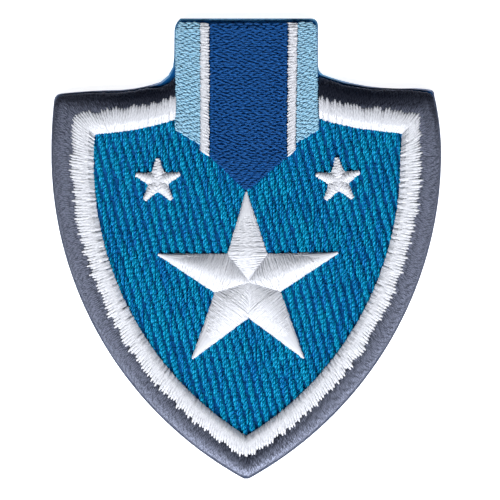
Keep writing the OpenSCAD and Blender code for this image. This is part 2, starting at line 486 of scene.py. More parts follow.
def join_copies(name, points, lengths, lots, material):
    """One mesh object of all the copies, with their UV map and lots. points are in millimetres."""
    count = len(points)
    size = len(stitch_points)
    faces = [[v + i * size for v in face] for i in range(count) for face in stitch_faces]
    mesh = bpy.data.meshes.new(name)
    mesh.from_pydata((points.reshape(-1, 3) * MM).tolist(), [], faces)
    corners = np.tile(stitch_map(), (count, 1, 1))
    corners[..., 0] *= lengths[:, None]
    corners[..., 0] += lots[:, None] * PLY_PITCH
    mesh.uv_layers.new(name=THREAD_MAP).data.foreach_set("uv", corners.ravel())
    lot = mesh.attributes.new(LOT, "FLOAT", "POINT")
    lot.data.foreach_set("value", np.repeat(lots, size))
    mesh.polygons.foreach_set("use_smooth", [True] * len(faces))
    mesh.materials.append(material)
    obj = bpy.data.objects.new(name, mesh)
    bpy.context.collection.objects.link(obj)
    return obj


def sew(name, start, end, material, chance, **shape):
    """Lays and joins the stitches from start to end."""
    points = lay(start, end, **shape)
    lengths = np.linalg.norm(end - start, axis=1)
    obj = join_copies(name, points, lengths, chance.random(len(start)), material)
    print(name, "has", len(start), "stitches, the longest", round(float(lengths.max()), 2), "mm")
    return obj


print("each stitch adds", len(stitch_faces), "faces to its field")


# %% [markdown]
# ## Padding
# Under satin stitches a machine first sews an underlay, which lifts the column. It could be sewn here
# too, but nobody would see it. The model's solids have much the same crowned shape, so the padding of a
# field is a copy of its solid: its loose triangles are merged, it is drawn in a little so that it stays
# under the stitches, its crown is pressed lower where a field needs that, and its flat underside is
# pushed down onto the cloth. On the ribbon it also ends short of the tab's rim. It has the colour of its
# thread, as underlay does.

# %% Make the padding of a field
SATIN_DRAW_IN = 0.04
CLOTH_TOP = 0.74
MERGE = 1e-6
AT_BOTTOM = 0.02


def copy_solid(node, name):
    """A merged copy of a CAD solid, which is left as it is."""
    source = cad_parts[node]
    obj = bpy.data.objects.new(name, source.data.copy())
    obj.data.transform(source.matrix_world)
    obj.data.materials.clear()
    bpy.context.collection.objects.link(obj)
    pick_out(obj)
    bpy.ops.object.mode_set(mode="EDIT")
    bpy.ops.mesh.select_all(action="SELECT")
    bpy.ops.mesh.remove_doubles(threshold=MERGE)
    bpy.ops.mesh.normals_make_consistent(inside=False)
    bpy.ops.object.mode_set(mode="OBJECT")
    return obj


def pad(node, material, draw_in, squash, short):
    """The padding under the stitches of a node, drawn in, flattened and cut short at its upper end."""
    low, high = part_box(node)
    obj = copy_solid(node, node + "_padding")
    bpy.ops.object.mode_set(mode="EDIT")
    bpy.ops.mesh.select_all(action="SELECT")
    bpy.ops.transform.shrink_fatten(value=-draw_in * MM)
    bpy.ops.transform.resize(value=(1, 1, squash), center_override=(0, 0, low[2]))
    select_in_edit_mode(obj, "VERT", lambda v: v.co.z < low[2] + (draw_in + AT_BOTTOM) * MM)
    bpy.ops.transform.translate(value=(0, 0, CLOTH_TOP * MM - low[2] - draw_in * MM))
    select_in_edit_mode(obj, "VERT", lambda v: v.co.y > high[1] - 2 * draw_in * MM)
    bpy.ops.transform.translate(value=(0, -short * MM, 0))
    bpy.ops.object.mode_set(mode="OBJECT")
    obj.data.materials.append(material)
    return obj


print("paddings reach down to about", CLOTH_TOP, "mm, just under the cloth's face")

# %% Sew a field over its padding
def sew_field(node, thread, start, end, chance, draw_in, squash=1.0, short=0.0, **shape):
    """Sews the stitches of a field over its padding, and lets them stand for the node."""
    obj = sew(node + "_stitches", start, end, threads[thread], chance, **shape)
    padding = pad(node, threads[thread], draw_in, squash, short)
    pick_out(padding, obj)
    bpy.ops.object.join()
    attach(obj, "root")
    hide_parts(node)


def top_of(node):
    """Height of the highest thread's middle over a node, in millimetres."""
    return float(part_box(node)[1][2]) / MM - THREAD_T / 2


print("the white border's threads may lie as high as", round(top_of("inner_border"), 3), "mm")


# %% [markdown]
# ## The borders' lines
# The two satin borders lie between three lines: the outer edge, the seam between grey and white, and the
# inner edge. They could be curves drawn by hand. Here each is a short table of places with the radius of
# the arc to the next place. The tables have the same rows, so a stitch runs from a share of a stretch on
# one line to the same share on the next, and the stitches fan round the corners as they do on the patch.

# %% Tables of the borders
# Columns: x and y in millimetres, and the radius of the arc to the next row. A minus is a hollow arc.
OUTER_LINE = [
    (-8.9, 21.3, -3.6),
    (-12.4, 19.95, -18),
    (-16.0, 19.4, 80),
    (-22.85, 19.05, 1.0),
    (-23.8, 18.15, 55),
    (-24.1, 12.0, 46.0),
    (-0.6, -28.2, 1.2),
    (0.6, -28.2, 46.0),
    (24.1, 12.0, 32),
    (23.4, 18.3, 1.1),
    (22.5, 19.45, 40),
    (16.0, 19.75, -28),
    (12.4, 20.3, -28),
    (9.15, 21.35, 0),
]
SEAM_LINE = [
    (-8.9, 19.0, -20),
    (-11.9, 18.05, -20),
    (-15.2, 17.5, 0),
    (-20.9, 16.75, 0.6),
    (-21.4, 16.3, 60),
    (-21.75, 12.0, 43),
    (-0.1, -25.85, 0.2),
    (0.1, -25.85, 43),
    (21.75, 12.0, 60),
    (21.45, 16.2, 0.6),
    (21.0, 16.8, 0),
    (15.3, 17.55, -20),
    (12.0, 18.05, -20),
    (9.15, 18.85, 0),
]
INNER_LINE = [
    (-8.9, 16.25, -25),
    (-12.2, 15.35, -25),
    (-15.5, 14.75, 0),
    (-18.85, 14.4, 0.4),
    (-19.05, 14.1, 60),
    (-19.15, 11.5, 40.2),
    (-0.1, -23.4, 0.2),
    (0.1, -23.4, 40.3),
    (19.35, 11.5, 60),
    (19.55, 14.1, 0.4),
    (19.35, 14.5, 0),
    (15.5, 14.95, -25),
    (12.3, 15.5, -25),
    (9.15, 16.35, 0),
]


def along(line, row, share):
    """Points at shares of the stretch after a row. An arc bows to the right of the way."""
    p, q, radius = np.array(line[row][:2]), np.array(line[row + 1][:2]), line[row][2]
    if radius == 0:
        return p + np.outer(share, q - p)
    chord = np.linalg.norm(q - p)
    way = (q - p) / chord
    out = np.array([way[1], -way[0]]) * np.sign(radius)
    half = math.asin(chord / 2 / abs(radius))
    middle = (p + q) / 2 - out * abs(radius) * math.cos(half)
    turn = half * (2 * np.asarray(share) - 1)
    return middle + abs(radius) * (np.outer(np.cos(turn), out) + np.outer(np.sin(turn), way))


print("rows of the three lines:", [len(line) for line in (OUTER_LINE, SEAM_LINE, INNER_LINE)])


# %% [markdown]
# ## Satin
# The needle goes to and fro between the two edges of a column and moves on a little each time, so the
# thread makes a narrow zigzag with a hole every 0.36 mm on each side, or every 0.46 mm in the grey
# border. Two stitches meet in each hole, and that gives the fine saw teeth along the edge. Rows of
# parallel threads would be simpler, but they would have no teeth. Real holes don't lie on a perfect line,
# so each is moved a little in or out by a seeded random draw. A lower thread fills the gap between each
# two stitches.

# %% Place the needle holes
PITCH = 0.36


def holes_between(line_a, line_b, pitch):
    """Needle holes on two lines with the same rows: line a has one more, at the end."""
    side_a, side_b = [], []
    for row in range(len(line_a) - 1):
        reach = max(np.linalg.norm(np.subtract(a[row + 1][:2], a[row][:2])) for a in (line_a, line_b))
        count = max(1, round(reach / pitch))
        side_a.append(along(line_a, row, np.arange(count) / count))
        side_b.append(along(line_b, row, (np.arange(count) + 0.5) / count))
    side_a.append(np.array([line_a[-1][:2]]))
    return np.concatenate(side_a), np.concatenate(side_b)


def moved_out(holes, others, reach):
    """Holes moved away from the holes on the other side by a reach for each."""
    near = others[np.minimum(np.arange(len(holes)), len(others) - 1)]
    away = holes - near
    return holes + away / np.linalg.norm(away, axis=1)[:, None] * np.asarray(reach)[:, None]


print("a satin column has a hole every", PITCH, "mm on each side")

# %% Run the thread to and fro
SPREAD = 0.09
STRAY = 0.012
EDGE_SHARE = 0.6


def way_along(points):
    """Direction of a row of points at each of them."""
    way = np.gradient(points, axis=0)
    return way / np.linalg.norm(way, axis=1)[:, None]


def zigzag(side_a, side_b, low_a, low_b, chance, spread, ways):
    """Start and end of each stitch of a path that goes from side to side, with the holes' heights.
    The spread is how far the two stitches at a hole keep from each other on each side. They part in the
    direction of the column, or nearer to that of their own edge where the ways of the edges are given."""
    path = np.empty((len(side_a) + len(side_b), 3))
    path[0::2, :2], path[1::2, :2] = side_a, side_b
    path[0::2, 2], path[1::2, 2] = low_a, low_b
    path[:, :2] += chance.normal(0, STRAY, (len(path), 2))
    start, end = path[:-1].copy(), path[1:].copy()
    step = way_along(((start + end) / 2)[:, :2])
    start_step, end_step = step, step
    if ways:
        edge_step = np.empty((len(path), 2))
        edge_step[0::2], edge_step[1::2] = ways
        start_step = step + (edge_step[:-1] - step) * EDGE_SHARE
        end_step = step + (edge_step[1:] - step) * EDGE_SHARE
    turn = np.arange(len(start)) % 2
    start[:, :2] += start_step * np.take(spread, turn)[:, None]
    end[:, :2] -= end_step * np.take(spread, 1 - turn)[:, None]
    return start, end


print("two stitches at a hole keep", 2 * SPREAD, "mm apart")

# %% Add the lower threads
UNDER_DROP = 0.008
MOST_INSET = 0.25


def with_underlay(start, end, inset_a, inset_b):
    """The stitches, then a lower thread between each two, drawn in from the holes by an inset.
    Gives their ends on side a, their ends on side b and how much lower each one lies."""
    forth = (np.arange(len(start)) % 2 == 0)[:, None]
    side_a, side_b = np.where(forth, start, end), np.where(forth, end, start)
    under_a, under_b = (side_a[:-1] + side_a[1:]) / 2, (side_b[:-1] + side_b[1:]) / 2
    inward = (under_b - under_a) * [1, 1, 0]
    length = np.linalg.norm(inward, axis=1)[:, None]
    under_a += inward * np.minimum(inset_a / length, MOST_INSET)
    under_b -= inward * np.minimum(inset_b / length, MOST_INSET)
    drop = np.repeat([0, UNDER_DROP], [len(start), len(under_a)])
    return np.concatenate([side_a, under_a]), np.concatenate([side_b, under_b]), drop


def satin(
    line_a, line_b, reach_a, reach_b, low_a, low_b, inset, chance,
    pitch=PITCH, spread=(SPREAD, SPREAD), along_edges=False,
):
    """The stitches of a satin column between two lines: start, end and how much lower each lies. A reach
    is the least and the most that the holes of a side lie outside their line, and low is their height."""
    side_a, side_b = holes_between(line_a, line_b, pitch)
    out_a = moved_out(side_a, side_b, chance.uniform(*reach_a, len(side_a)))
    out_b = moved_out(side_b, side_a, chance.uniform(*reach_b, len(side_b)))
    ways = (way_along(side_a), way_along(side_b)) if along_edges else None
    start, end = zigzag(out_a, out_b, low_a, low_b, chance, spread, ways)
    return with_underlay(start, end, *inset)


print("the lower threads lie", UNDER_DROP, "mm under the others")

# %% [markdown]
# ## The two borders
# The grey border climbs from the rim of the cloth to the seam. The white one arches high between the seam
# and the ground cloth, and its outer holes stray as far as 0.6 mm over the grey thread. Two smooth rings
# with a striped material could stand for them, but the uneven ends of the threads are what makes a border
# look sewn, so each stitch is laid.

# %% Sew the two borders
BORDER_UNEVEN = 0.004
BORDER_WIDTHS = (0.85, 1.1)
BORDER_BOW = 0.02
ON_RIM = 1.07
GREY_SEAM = 1.42
GREY_TOP = 1.50
WHITE_SEAM = 1.45
WHITE_FLAT = 0.15
WHITE_LOW = 1.12


def sew_border(node, thread, column, top, width, squash, seed, **crown):
    """A satin border. The column says where its holes lie, and the crown how its stitches rise."""
    chance = np.random.default_rng(seed)
    start, end, drop = satin(chance=chance, **column)
    top = top - drop + chance.normal(0, BORDER_UNEVEN, len(start))
    width = width * chance.uniform(*BORDER_WIDTHS, len(start))
    bow = chance.normal(0, BORDER_BOW, len(start))
    sew_field(
        node, thread, start, end, chance, SATIN_DRAW_IN, squash, top=top, width=width, bow=bow, **crown
    )


sew_border(
    "outer_border", "grey_thread", seed=1,
    column={
        "line_a": OUTER_LINE, "reach_a": (0.14, 0.22), "low_a": ON_RIM,
        "line_b": SEAM_LINE, "reach_b": (0.15, 0.35), "low_b": GREY_SEAM,
        "pitch": 0.46, "spread": (0.08, 0.08), "inset": (0.02, 0.02),
    },
    top=GREY_TOP, width=0.34, squash=0.1, power=2.0, ends=0.78, crest=0.95,
)
sew_border(
    "inner_border", "white_thread", seed=2,
    column={
        "line_a": SEAM_LINE, "reach_a": (0.0, 0.60), "low_a": WHITE_SEAM,
        "line_b": INNER_LINE, "reach_b": (0.07, 0.13), "low_b": WHITE_LOW,
        "spread": (0.015, 0.085), "inset": (0.24, 0.02),
    },
    top=top_of("inner_border") - WHITE_FLAT, width=0.33, squash=0.70, power=2.3, ends=0.56,
    far_ends=0.88, crest=0.52, taper=(1.8, 0.5),
)


# %% [markdown]
# ## The ribbon
# The tab carries a short ribbon of five stripes. Two narrow white lines are satin. The pale sides and the
# royal middle are too wide for that, so the machine fills them: each row is a chain of shorter stitches
# whose needle holes are staggered from row to row, which leaves small dark dots. A brick pattern in a
# material could draw the dots, but not the loose ends at the edges, so these rows are laid as well. The
# rows of the pale sides turn slowly until the last ones run along the slanted lower edge.

# %% Sizes of the ribbon
RIBBON_TOP = 28.2
# Columns: x at the top, x and y at the lower end, first of the left edge and then of the right edge
LINE_LEFT = (-5.65, -5.65, 12.3, -4.65, -4.65, 11.5)
LINE_RIGHT = (5.3, 5.15, 11.55, 6.35, 6.15, 12.45)
# Left and right edge of a pale side, which reaches out to the rim and round its upper corner
SIDE_LEFT_EDGES = [
    [(-8.45, RIBBON_TOP), (-8.86, 27.3), (-8.95, 15.0)],
    [(-5.7, RIBBON_TOP), (-5.7, 13.1)],
]
SIDE_RIGHT_EDGES = [
    [(6.4, RIBBON_TOP), (6.2, 13.35)],
    [(8.35, RIBBON_TOP), (8.8, 27.6), (9.12, 15.0)],
]
CENTRE_LEFT = [(-4.6, RIBBON_TOP), (-4.6, 11.5), (-0.15, 7.25)]
CENTRE_RIGHT = [(5.25, RIBBON_TOP), (5.1, 11.5), (0.25, 7.25)]
END_SLOPE = 0.6
END_SINK = 0.15


def sink(start, end):
    """How much lower each stitch lies where the ribbon's upper end slopes down to the rim."""
    height = (start[:, 1] + end[:, 1]) / 2
    return END_SINK * np.clip((height - RIBBON_TOP + END_SLOPE) / END_SLOPE, 0, 1)


print("the ribbon is", round(RIBBON_TOP - CENTRE_LEFT[-1][1], 2), "mm long to its point")

# %% Sew the two white lines
LINE_LOW = 1.16
LINE_INSET = (0.14, 0.14)
LINE_UNEVEN = 0.008


def straight(edge):
    """An edge of straight stretches as a line table."""
    return [(x, y, 0) for x, y in edge]


def sew_line(node, stripe, reach_left, reach_right, spread, seed):
    """A narrow satin line of the ribbon."""
    chance = np.random.default_rng(seed)
    start, end, drop = satin(
        straight([(stripe[0], RIBBON_TOP), stripe[1:3]]), straight([(stripe[3], RIBBON_TOP), stripe[4:]]),
        reach_left, reach_right, LINE_LOW, LINE_LOW, LINE_INSET, chance, spread=spread,
    )
    top = top_of(node) - drop - sink(start, end) + chance.normal(0, LINE_UNEVEN, len(start))
    sew_field(node, "white_thread", start, end, chance, SATIN_DRAW_IN, short=END_SLOPE, top=top)


sew_line(
    "ribbon_line_left", LINE_LEFT, reach_left=(0.12, 0.30), reach_right=(0.0, 0.20), spread=(0.07, 0.02),
    seed=3,
)
sew_line(
    "ribbon_line_right", LINE_RIGHT, reach_left=(0.0, 0.20), reach_right=(0.03, 0.20), spread=(0.02, 0.07),
    seed=4,
)

# %% Run the rows of a filled stripe
ROW_DIP = 0.22
IN_CLOTH = 0.92
ROW_END = IN_CLOTH + 0.1
BRICK_SHIFTS = (0.0, 0.5, 0.2, 0.7, 0.9, 0.4)
SHORTEST = 0.3
STOP_STRAY = 0.08
ROW_STRAY = 0.03
LEAN_STRAY = 0.035


def fill_rows(left, right, stitch_length, lean, chance, top):
    """Start and end of the stitches of rows from left to right whose holes shift from row to row.
    Each stitch starts higher than its row by about the lean, and ends lower by as much."""
    start, end = [], []
    for row, (a, b) in enumerate(zip(left, right)):
        reach = float(np.linalg.norm(b - a))
        first = BRICK_SHIFTS[row % len(BRICK_SHIFTS)] * stitch_length
        stops = np.arange(first, reach - SHORTEST * stitch_length, stitch_length)
        stops = stops[stops > SHORTEST * stitch_length]
        stops += chance.normal(0, STOP_STRAY, len(stops))
        at = np.concatenate([[0], stops, [reach]])
        path = np.zeros((len(at), 3))
        path[:, :2] = a + (b - a) * (at / reach)[:, None]
        path[1:-1, 1] += chance.normal(0, ROW_STRAY, len(stops))
        path[:, 2] = top - ROW_DIP
        path[[0, -1], 2] = ROW_END
        start.append(path[:-1])
        end.append(path[1:])
    start, end = np.concatenate(start), np.concatenate(end)
    leans = chance.normal(lean, LEAN_STRAY, len(start))
    start[:, 1] += leans
    end[:, 1] -= leans
    lower = sink(start, end)
    start[:, 2] = np.maximum(start[:, 2] - lower, IN_CLOTH)
    end[:, 2] = np.maximum(end[:, 2] - lower, IN_CLOTH)
    return start, end


print("the holes of a row are", ROW_DIP, "mm lower than its threads")

# %% Sew a filled stripe
FILL_DRAW_IN = 0.15
FILL_W = 0.26
FILL_UNEVEN = 0.02


def sew_fill(node, thread, left, right, stitch_length, lean, bow, sway, seed, **crown):
    """A filled stripe whose rows run between the points of its left and right edge. bow and sway are
    how much its threads stray sideways."""
    chance = np.random.default_rng(seed)
    top = top_of(node)
    start, end = fill_rows(left, right, stitch_length, lean, chance, top)
    bow = chance.normal(0, bow, len(start))
    top = top - sink(start, end) + chance.normal(0, FILL_UNEVEN, len(start))
    sway = chance.normal(0, sway, len(start))
    sew_field(
        node, thread, start, end, chance, FILL_DRAW_IN, short=END_SLOPE,
        top=top, bow=bow, sway=sway, width=FILL_W, **crown,
    )


print("filling threads are", FILL_W, "mm wide")

# %% Sew the pale sides
PALE_ROW = 0.25
PALE_STITCH = 0.9


def edge_points(edge, count):
    """Points spread evenly along an edge of straight stretches."""
    edge = np.array(edge)
    reach = np.concatenate([[0], np.cumsum(np.linalg.norm(np.diff(edge, axis=0), axis=1))])
    at = np.linspace(0, reach[-1], count)
    return np.stack([np.interp(at, reach, edge[:, k]) for k in (0, 1)], axis=1)


def sew_side(node, edges, lean, seed):
    """A pale side of the ribbon, whose rows turn from level to the slant of its lower edge."""
    lower_end = (edges[0][-1][1] + edges[1][-1][1]) / 2
    count = round((RIBBON_TOP - lower_end) / PALE_ROW)
    left, right = (edge_points(edge, count) for edge in edges)
    sew_fill(
        node, "pale_blue_thread", left, right, PALE_STITCH, lean, bow=0.03, sway=0.02, seed=seed,
        power=2.4, thick=0.16,
    )


sew_side("ribbon_side_left", SIDE_LEFT_EDGES, lean=0.015, seed=5)
sew_side("ribbon_side_right", SIDE_RIGHT_EDGES, lean=-0.02, seed=6)

# %% Sew the royal middle
ROYAL_ROW = 0.24
ROYAL_STITCH = 1.1


def edge_at(edge, heights):
    """Points of an edge of straight stretches at heights along Y."""
    across = np.interp(heights, [y for _, y in edge][::-1], [x for x, _ in edge][::-1])
    return np.stack([across, heights], axis=1)


row_heights = np.arange(RIBBON_TOP - ROYAL_ROW / 2, CENTRE_LEFT[-1][1] + ROYAL_ROW, -ROYAL_ROW)
sew_fill(
    "ribbon_centre", "royal_thread", edge_at(CENTRE_LEFT, row_heights), edge_at(CENTRE_RIGHT, row_heights),
    ROYAL_STITCH, lean=0.012, bow=0.035, sway=0.03, seed=7, power=2.6, thick=0.13,
)


# %% [markdown]
# ## The large star
# Each of the five arms is its own satin kite, sewn across the line from its tip to the star's middle. The
# arms meet in thin grooves. One outline filled with stitches of one direction would be easier, but the
# star gets its facets from the five directions. A kite's stitches grow longer up to the notches and
# shorter again to the middle. A short stitch lies lower than a long one, so the arm is a smooth ridge,
# and each thread is rolled a little to follow it. The two side arms have sharper ridges than the others.

# %% Shape the arms of the large star
STAR_MIDDLE = np.array((0.3, -4.1))
# Columns: x and y of an arm's tip, x and y of the notch after it, going round clockwise, then the power
# of the crown, its rise for each millimetre of a stitch's length, its crest, and the threads' sway
STAR_ARMS = [
    (0.0, 7.1, 2.6, -0.65, 2.0, 0.17, 0.50, 0.010),
    (11.45, -0.5, 4.25, -5.35, 1.5, 0.23, 0.45, 0.045),
    (7.15, -13.65, 0.3, -8.6, 2.0, 0.16, 0.50, 0.015),
    (-6.7, -13.7, -3.9, -5.5, 2.0, 0.16, 0.50, 0.015),
    (-11.0, -0.7, -2.3, -0.65, 1.5, 0.23, 0.55, 0.045),
]
CORE_PAST = 0.3
CORE_HALF = 0.05


def kite_lines(tip, middle, left_notch, right_notch, end_width, groove):
    """The two edges of a star's arm, from its tip past its notch to the star's middle."""
    inward = (middle - tip) / np.linalg.norm(middle - tip)
    side = np.array((-inward[1], inward[0]))
    last = middle + inward * CORE_PAST
    left = [tip + side * end_width, left_notch - side * groove / 2, last + side * CORE_HALF]
    right = [tip - side * end_width, right_notch + side * groove / 2, last - side * CORE_HALF]
    return straight(left), straight(right)


print("tips of the large star:", [row[:2] for row in STAR_ARMS])

# %% Stitch a kite
# Heights in millimetres: the solid's underside, a stitch's own rise at a tip, and the needle holes
BASE = 1.04
EDGE_H = 0.09
STAR_LOW = 1.10
CORE_LOW = 1.25
# Past the notch the holes climb to CORE_LOW in a third of the way, and the stitches begin to bow
CORE_SOON = 3
CORE_PULL = 0.25
KITE_REACH = (-0.015, 0.045)
KITE_INSET = (0.05, 0.05)
KITE_UNEVEN = 0.005


def stitch_kite(lines, full_top, rise_share, along_edges, seed):
    """A kite's stitches: start, end, top, how far they bow to the star's middle, and the counts of the
    upper and lower threads. Also gives the generator of its random draws."""
    chance = np.random.default_rng(seed)
    start, end, drop = satin(
        *lines, KITE_REACH, KITE_REACH, STAR_LOW, STAR_LOW, KITE_INSET, chance, along_edges=along_edges
    )
    parts = [np.count_nonzero(drop == 0), np.count_nonzero(drop)]
    tip, notch, middle = (np.array(lines[0][row][:2]) for row in range(3))
    inward = (middle - tip) / np.linalg.norm(middle - tip)
    notch_at = (notch - tip) @ inward
    at = ((start + end)[:, :2] / 2 - tip) @ inward
    past = np.clip((at - notch_at) / ((middle - tip) @ inward - notch_at), 0, 1)
    rise = np.minimum(past * CORE_SOON, 1) * (CORE_LOW - STAR_LOW)
    start[:, 2] += rise
    end[:, 2] += rise
    length = np.linalg.norm(end - start, axis=1)
    top = np.minimum(full_top, BASE + EDGE_H + rise_share * length - THREAD_T / 2)
    top += chance.normal(0, KITE_UNEVEN, len(start)) - drop
    bow = past * CORE_PULL * length
    return start, end, top, bow, parts, chance


print("a kite's edges lie", round(STAR_LOW - BASE, 2), "mm above the solid's underside")

# %% Sew the large star
ARM_END = 0.12
GROOVE = -0.1
STAR_RIDGE = 0.10
STAR_SQUASH = 0.60
STAR_THREAD_W = 0.30
STAR_TAPER = (0.6, 0.6)
STAR_SEED = 10


def sew_arm(i):
    """Arm number i of the large star."""
    node = f"star_arm_{i + 1}"
    power, rise_share, crest, sway = STAR_ARMS[i][4:]
    tip, after = np.array(STAR_ARMS[i][:2]), np.array(STAR_ARMS[i][2:4])
    before = np.array(STAR_ARMS[i - 1][2:4])
    lines = kite_lines(tip, STAR_MIDDLE, after, before, ARM_END, GROOVE)
    start, end, top, bow, parts, chance = stitch_kite(
        lines, top_of(node) + STAR_RIDGE, rise_share, along_edges=True, seed=STAR_SEED + i
    )
    sway = chance.normal(0, sway, len(start))
    sew_field(
        node, "white_thread", start, end, chance, SATIN_DRAW_IN, STAR_SQUASH, top=top, bow=bow, sway=sway,
        power=power, crest=crest, ends=1.0, taper=STAR_TAPER, width=STAR_THREAD_W, parts=parts,
    )


for i in range(len(STAR_ARMS)):
    sew_arm(i)


# %% [markdown]
# ## The small stars
# A small star is sewn the same way, arm by arm, but its arms are so short that only a few stitches fit in
# each. They are blunt at the tip and run over each other in the middle. It could be a small copy of the
# large star, but thread has one size, so it is sewn anew. Its stitches part along the arm and not along
# its slanted edges, so that the few threads stay apart.

# %% Sew the small stars
ARMS = 5
SMALL_TIP = 2.85
SMALL_NOTCH = 1.32
SMALL_END = 0.25
SMALL_FLAT = 0.14
SMALL_RISE = 0.22
# Columns: x and y of the middle, the turn in degrees, and the seed of the first arm
SMALL_STARS = {
    "small_star_left": (-11.05, 8.45, 0.5, 20),
    "small_star_right": (11.5, 8.55, 3.0, 25),
}


def around(middle, radius, degrees):
    """Point at a distance and direction from the middle."""
    return middle + radius * np.array((math.cos(math.radians(degrees)), math.sin(math.radians(degrees))))


def small_arm_lines(middle, way):
    """The two edges of a small star's arm that points in a direction in degrees."""
    half = 180 / ARMS
    tip = around(middle, SMALL_TIP, way)
    notches = (around(middle, SMALL_NOTCH, way - half), around(middle, SMALL_NOTCH, way + half))
    return kite_lines(tip, middle, *notches, SMALL_END, 0.0)


def sew_small_star(node, x, y, turn, seed):
    """A small star, whose arms are joined into one piece."""
    arms = []
    counts = []
    for k in range(ARMS):
        lines = small_arm_lines(np.array((x, y)), 90 + turn - 360 / ARMS * k)
        *arm, parts, chance = stitch_kite(
            lines, top_of(node) - SMALL_FLAT, SMALL_RISE, along_edges=False, seed=seed + k
        )
        arms.append(arm)
        counts += parts
    start, end, top, bow = (np.concatenate(values) for values in zip(*arms))
    sew_field(
        node, "white_thread", start, end, chance, SATIN_DRAW_IN, STAR_SQUASH,
        top=top, bow=bow, power=2.0, ends=1.0, parts=counts,
    )


for node, row in SMALL_STARS.items():
    sew_small_star(node, *row)


# %% [markdown]
# ## The ground cloth
# The cloth is cut out with a hot blade, which melts its rim into a dark bead and seals it. The solid of
# the cloth gives the outline, and drawing it anew would only risk a mismatch. Its copy gets the bead from
# an inset ring on the upper face: what is inside the ring is pushed down, and the bead's two edges are
# rounded with a bevel. The copy is spread by a third of a percent, so that the bead shows beside the
# thread. The underside is the plain pale film of a stabiliser.

# %% Materials of the cloth
TAB_STARTS = (20.3, 21.8)
# Rim colours, partly painted light: paler where the rim faces away from the lamp, brighter blue where the
# ribbon shades it
RIM_GREYS_PAINTED_LIT = ((0.040, 0.060, 0.130), (0.260, 0.310, 0.440))
RIM_BLUES_PAINTED_LIT = ((0.030, 0.130, 0.320), (0.170, 0.420, 0.620))
FILM_TONES = ((0.46, 0.50, 0.55), (0.60, 0.63, 0.67))
# The ground's blues are darker than the yarns': painted shade down in the holes of the weave
SHADE_GROUND_BLUES = ((0.001, 0.064, 0.23), (0.002, 0.100, 0.32))
RIM_PATCHES = 900.0
RIM_GRAIN = 3500.0
FUZZ = 5000.0
WEAVE_PRINT = 590.0
RIB_LEAN = math.radians(16.4)


def rim_material():
    """Melted edge of the cloth in grey-blue patches, bluer round the tab. The patches are paler than a dark
    bead, partly painted light on a rim that faces away from the lamp, and the tab's blue is brighter where
    the ribbon shades the rim.
    """
    material, shader = start_material("cut_edge", roughness=0.7, specular=0.15)
    place = object_place(material)
    patches = add_noise(material, place, RIM_PATCHES, detail=3.0)
    greys, blues = (mix_colours(material, patches, *tones) for tones in (RIM_GREYS_PAINTED_LIT, RIM_BLUES_PAINTED_LIT))
    height = add_node(material, "ShaderNodeSeparateXYZ", Vector=place).outputs["Y"]
    at_tab = remap(material, height, [y * MM for y in TAB_STARTS])
    join(material, mix_colours(material, at_tab, greys, blues), shader, "Base Color")
    grain = add_noise(material, place, RIM_GRAIN, detail=3.0)
    join(material, add_bump(material, grain, strength=0.5, depth=0.05), shader, "Normal")
    return material


def film_material():
    """Pale stabiliser film on the back, with the faint print of the weave."""
    material, shader = start_material("stabiliser", roughness=0.6, specular=0.3)
    turned = add_node(
        material, "ShaderNodeMapping", Vector=object_place(material), Rotation=(0, 0, RIB_LEAN)
    )
    weave = add_node(
        material, "ShaderNodeTexWave", {"bands_direction": "X"},
        Vector=turned.outputs[0], Scale=WEAVE_PRINT, Distortion=1.5, Detail=2.0,
    ).outputs["Fac"]
    join(material, mix_colours(material, weave, *FILM_TONES), shader, "Base Color")
    join(material, add_bump(material, weave, strength=0.4, depth=0.05), shader, "Normal")
    return material


def ground_material():
    """Dark blue of the cloth down between its yarns, darker than the yarns as painted shade in the holes."""
    material, shader = start_material("ground", roughness=0.8, specular=0.1)
    fuzz = add_noise(material, object_place(material), FUZZ, detail=2.0)
    join(material, mix_colours(material, fuzz, *SHADE_GROUND_BLUES), shader, "Base Color")
    return material


cloth_materials = [rim_material(), film_material(), ground_material()]
print("materials of the cloth:", [material.name for material in cloth_materials])

# %% Model the ground cloth
BEAD_W = 0.24
BEAD_DROP = 0.19
BEAD_TOP = 0.96
BEAD_ROUND = 0.06
BEAD_SEGMENTS = 3
BEAD_MIDDLE = BEAD_TOP - BEAD_DROP / 2
SPREAD_OUT = 1.0035
LOOKS_UP = 0.9
SAME_PLANE = math.radians(0.5)


def model_cloth():
    """The ground cloth with its melted rim."""
    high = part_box("ground_cloth")[1]
    obj = copy_solid("ground_cloth", "cloth_body")
    bpy.ops.object.mode_set(mode="EDIT")
    bpy.ops.mesh.select_all(action="SELECT")
    bpy.ops.mesh.dissolve_limited(angle_limit=SAME_PLANE)
    select_in_edit_mode(obj, "FACE", lambda f: f.normal.z > LOOKS_UP)
    bpy.ops.transform.translate(value=(0, 0, BEAD_TOP * MM - high[2]))
    bpy.ops.mesh.inset(thickness=BEAD_W * MM, depth=0)
    bpy.ops.transform.translate(value=(0, 0, -BEAD_DROP * MM))
    bpy.ops.mesh.select_all(action="SELECT")
    bpy.ops.transform.resize(value=(SPREAD_OUT, SPREAD_OUT, 1), center_override=(0, 0, 0))
    select_in_edit_mode(obj, "EDGE", lambda e: min(v.co.z for v in e.verts) > BEAD_MIDDLE * MM)
    bpy.ops.mesh.bevel(offset=BEAD_ROUND * MM, segments=BEAD_SEGMENTS, affect="EDGES")
    bpy.ops.object.mode_set(mode="OBJECT")
    return obj


cloth = model_cloth()
print("cloth body has", len(cloth.data.polygons), "faces")

